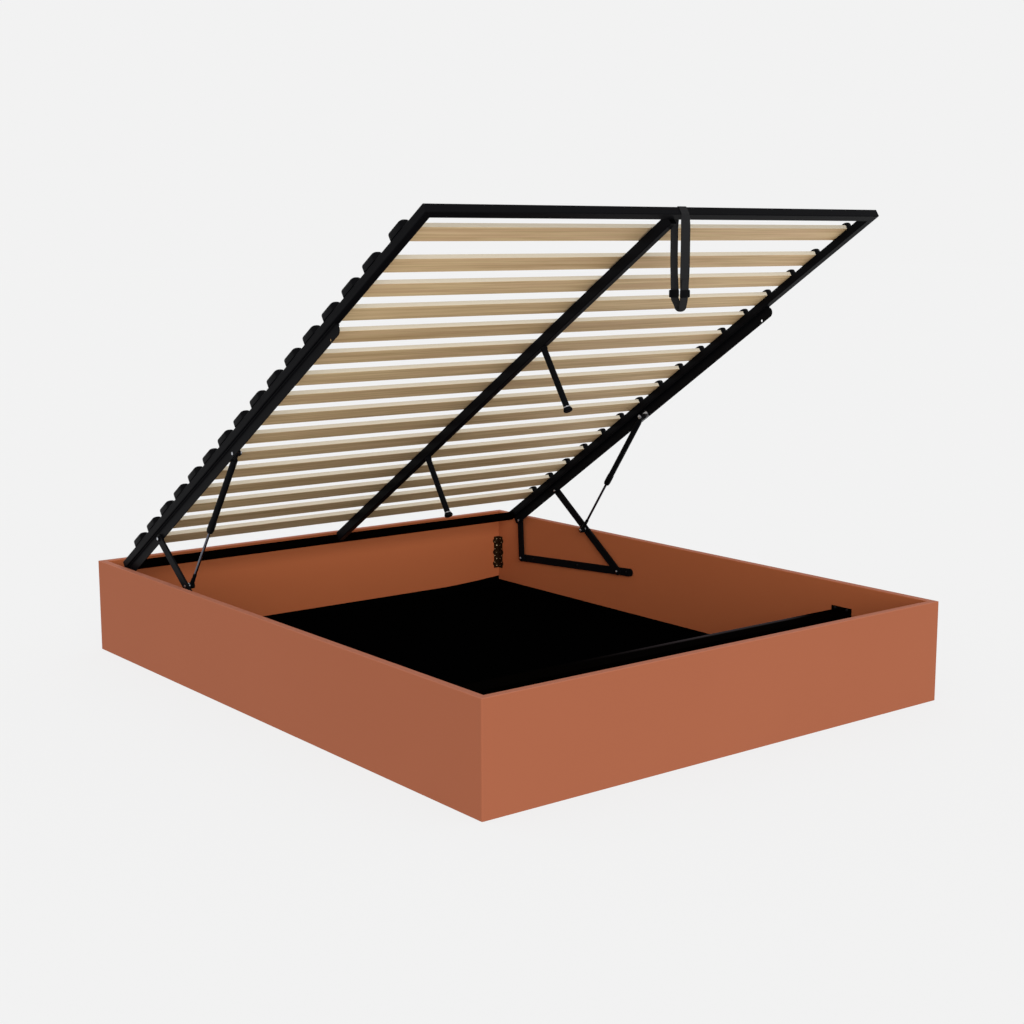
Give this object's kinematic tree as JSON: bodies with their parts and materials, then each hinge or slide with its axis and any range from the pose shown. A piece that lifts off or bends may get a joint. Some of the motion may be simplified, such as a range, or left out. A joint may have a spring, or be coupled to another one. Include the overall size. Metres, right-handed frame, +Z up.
{
  "type": "storage bed",
  "caption": "Panel box bed for storage; its slatted base lifts on arms, rear links and gas struts, and is shown raised",
  "frame": {"origin": "middle of the box's outline, on the ground", "axes": "+X across the bed to its right, +Y along the bed to the head end, +Z up"},
  "size_m": [1.54, 1.94, 1.3172],
  "materials": {
    "terracotta_panel": "matt lacquer",
    "floor_cloth": "non-woven",
    "black_steel": "satin powder coat",
    "bright_steel": "zinc plated",
    "beech": "bare laminated",
    "black_plastic": "moulded",
    "webbing": "woven"
  },
  "bodies": {
    "box": {"side_panel_left": "terracotta_panel", "side_panel_right": "terracotta_panel", "head_panel": "terracotta_panel", "foot_panel": "terracotta_panel", "floor_cloth": "floor_cloth", "floor_cloth_hem": "floor_cloth", "crossbar": "black_steel", "crossbar_brackets": "black_steel", "corner_brackets": "black_steel", "panel_screws": "bright_steel", "ground_bar_left": "black_steel", "ground_bar_right": "black_steel", "ground_pivot_bolts": "bright_steel"},
    "arm_left": {"front_arm_left": "black_steel", "strut_stud_left": "bright_steel"},
    "arm_right": {"front_arm_right": "black_steel", "strut_stud_right": "bright_steel"},
    "link_left": {"rear_link_left": "black_steel"},
    "link_right": {"rear_link_right": "black_steel"},
    "slatted_base": {"rail_left": "black_steel", "rail_right": "black_steel", "foot_tube": "black_steel", "head_tube": "black_steel", "centre_beam": "black_steel", "lift_profile_left": "black_steel", "lift_profile_right": "black_steel", "frame_pivot_bolts": "bright_steel", "strut_bracket_left": "bright_steel", "strut_bracket_right": "bright_steel", "slat_01": "beech", "slat_02": "beech", "slat_03": "beech", "slat_04": "beech", "slat_05": "beech", "slat_06": "beech", "slat_07": "beech", "slat_08": "beech", "slat_09": "beech", "slat_10": "beech", "slat_11": "beech", "slat_12": "beech", "slat_13": "beech", "slat_14": "beech", "slat_15": "beech", "slat_16": "beech", "slat_holders_left": "black_plastic", "slat_holders_right": "black_plastic", "support_leg_front": "black_steel", "support_leg_rear": "black_steel", "leg_glide_front": "black_plastic", "leg_glide_rear": "black_plastic", "leg_nuts": "bright_steel", "pull_strap": "webbing", "strap_sliders": "black_plastic"},
    "cylinder_left": {"strut_cylinder_left": "black_steel"},
    "cylinder_right": {"strut_cylinder_right": "black_steel"},
    "rod_left": {"strut_rod_left": "bright_steel", "strut_rod_end_left": "black_plastic"},
    "rod_right": {"strut_rod_right": "bright_steel", "strut_rod_end_right": "black_plastic"}
  },
  "joints": [
    {"name": "arm_hinge_left", "type": "hinge", "parent": "box", "child": "arm_left", "pos_m": [-0.738, 0.2927, 0.1595], "axis": [1, 0, 0], "range_deg": [-32.4, 0]},
    {"name": "arm_hinge_right", "type": "hinge", "parent": "box", "child": "arm_right", "pos_m": [0.738, 0.2927, 0.1595], "axis": [1, 0, 0], "range_deg": [-32.4, 0]},
    {"name": "base_lift", "type": "hinge", "parent": "arm_left", "child": "slatted_base", "pos_m": [-0.738, 0.60951, 0.39075], "axis": [1, 0, 0], "range_deg": [0, 65.42], "stiffness_Nm_per_rad": 60, "springref_deg": -171.89},
    {"name": "link_hinge_left", "type": "hinge", "parent": "box", "child": "link_left", "pos_m": [-0.738, 0.8016, 0.1267], "axis": [1, 0, 0], "range_deg": [-60.91, 0]},
    {"name": "cylinder_hinge_left", "type": "hinge", "parent": "slatted_base", "child": "cylinder_left", "pos_m": [-0.7211, 0.1664, 0.68173], "axis": [1, 0, 0], "range_deg": [0, 18.99]},
    {"name": "rod_slide_left", "type": "slide", "parent": "cylinder_left", "child": "rod_left", "axis": [0, -0.58, 0.8146], "range_m": [0, 0.1577]},
    {"name": "link_hinge_right", "type": "hinge", "parent": "box", "child": "link_right", "pos_m": [0.738, 0.8016, 0.1267], "axis": [1, 0, 0], "range_deg": [-60.91, 0]},
    {"name": "cylinder_hinge_right", "type": "hinge", "parent": "slatted_base", "child": "cylinder_right", "pos_m": [0.7211, 0.1664, 0.68173], "axis": [1, 0, 0], "range_deg": [0, 18.99]},
    {"name": "rod_slide_right", "type": "slide", "parent": "cylinder_right", "child": "rod_right", "axis": [0, -0.58, 0.8146], "range_m": [0, 0.1577]}
  ],
  "couplings": [
    {"joint": "arm_hinge_left", "follows": "base_lift", "ratio": -0.49524},
    {"joint": "link_hinge_left", "follows": "base_lift", "ratio": -0.93106},
    {"joint": "cylinder_hinge_left", "follows": "base_lift", "ratio": 0.29027},
    {"joint": "rod_slide_left", "follows": "base_lift", "m_per_rad": 0.13811},
    {"joint": "arm_hinge_right", "follows": "base_lift", "ratio": -0.49524},
    {"joint": "link_hinge_right", "follows": "base_lift", "ratio": -0.93106},
    {"joint": "cylinder_hinge_right", "follows": "base_lift", "ratio": 0.29027},
    {"joint": "rod_slide_right", "follows": "base_lift", "m_per_rad": 0.13811}
  ]
}
